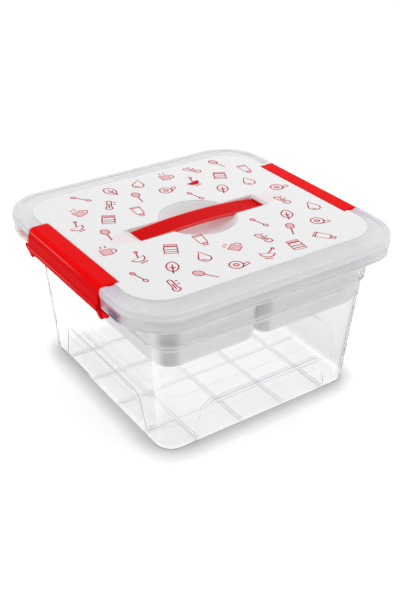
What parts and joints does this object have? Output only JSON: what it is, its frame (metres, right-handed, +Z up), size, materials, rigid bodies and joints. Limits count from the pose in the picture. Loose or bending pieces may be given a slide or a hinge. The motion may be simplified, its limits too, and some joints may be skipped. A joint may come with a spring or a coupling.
{
  "type": "medicine storage box",
  "caption": "Clear moulded storage box with a milky lid under side clips, a retractable strap handle in a finger dish, and lift-out trays inside.",
  "frame": {"origin": "centre of the base, on the ground plane under the feet", "axes": "+X along the front edge, towards the right-hand clip, +Y from the front to the back, +Z up"},
  "size_m": [0.3008, 0.28, 0.1675],
  "materials": {
    "tub_clear": "clear polished moulding",
    "lid_milky": "translucent, satin",
    "label_white": "printed film",
    "clip_red": "glossy moulding",
    "strap_red": "satin flexible moulding",
    "tray_milky": "satin translucent moulding"
  },
  "bodies": {
    "box": {"box_body": "tub_clear"},
    "lid": {"lid": "lid_milky", "lid_label": "label_white"},
    "clip_left": {"clip_left": "clip_red"},
    "clip_right": {"clip_right": "clip_red"},
    "tray_left": {"tray_left": "tray_milky"},
    "tray_right": {"tray_right": "tray_milky"},
    "grip": {"handle_grip": "strap_red"},
    "span_left": {"handle_span_left": "strap_red"},
    "span_right": {"handle_span_right": "strap_red"},
    "tail_left": {"handle_tail_left": "strap_red"},
    "tail_right": {"handle_tail_right": "strap_red"}
  },
  "joints": [
    {"name": "lid_lift", "type": "slide", "parent": "box", "child": "lid", "axis": [0, 0, 1], "range_m": [0, 0.24]},
    {"name": "clip_left_open", "type": "hinge", "parent": "box", "child": "clip_left", "pos_m": [-0.141, 0, 0.1495], "axis": [0, -1, 0], "range_deg": [0, 80]},
    {"name": "clip_right_open", "type": "hinge", "parent": "box", "child": "clip_right", "pos_m": [0.141, 0, 0.1495], "axis": [0, 1, 0], "range_deg": [0, 80]},
    {"name": "tray_left_lift", "type": "slide", "parent": "box", "child": "tray_left", "axis": [0, 0, 1], "range_m": [0, 0.12]},
    {"name": "tray_right_lift", "type": "slide", "parent": "box", "child": "tray_right", "axis": [0, 0, 1], "range_m": [0, 0.12]},
    {"name": "handle_lift", "type": "slide", "parent": "lid", "child": "grip", "axis": [0, 0, 1], "range_m": [0, 0.0185]},
    {"name": "span_left_bend", "type": "hinge", "parent": "grip", "child": "span_left", "pos_m": [-0.0342, 0, 0.16476], "axis": [0, -1, 0], "range_deg": [0, 30.2]},
    {"name": "span_right_bend", "type": "hinge", "parent": "grip", "child": "span_right", "pos_m": [0.0342, 0, 0.16476], "axis": [0, 1, 0], "range_deg": [0, 30.2]},
    {"name": "tail_left_slide", "type": "slide", "parent": "lid", "child": "tail_left", "axis": [1, 0, 0], "range_m": [0, 0.0062]},
    {"name": "tail_right_slide", "type": "slide", "parent": "lid", "child": "tail_right", "axis": [-1, 0, 0], "range_m": [0, 0.0062]}
  ],
  "couplings": [
    {"joint": "tray_left_lift", "follows": "lid_lift", "ratio": 0.5},
    {"joint": "tray_right_lift", "follows": "lid_lift", "ratio": 0.5},
    {"joint": "span_left_bend", "follows": "handle_lift", "rad_per_m": 28.3},
    {"joint": "span_right_bend", "follows": "handle_lift", "rad_per_m": 28.3},
    {"joint": "tail_left_slide", "follows": "handle_lift", "ratio": 0.33},
    {"joint": "tail_right_slide", "follows": "handle_lift", "ratio": 0.33}
  ]
}
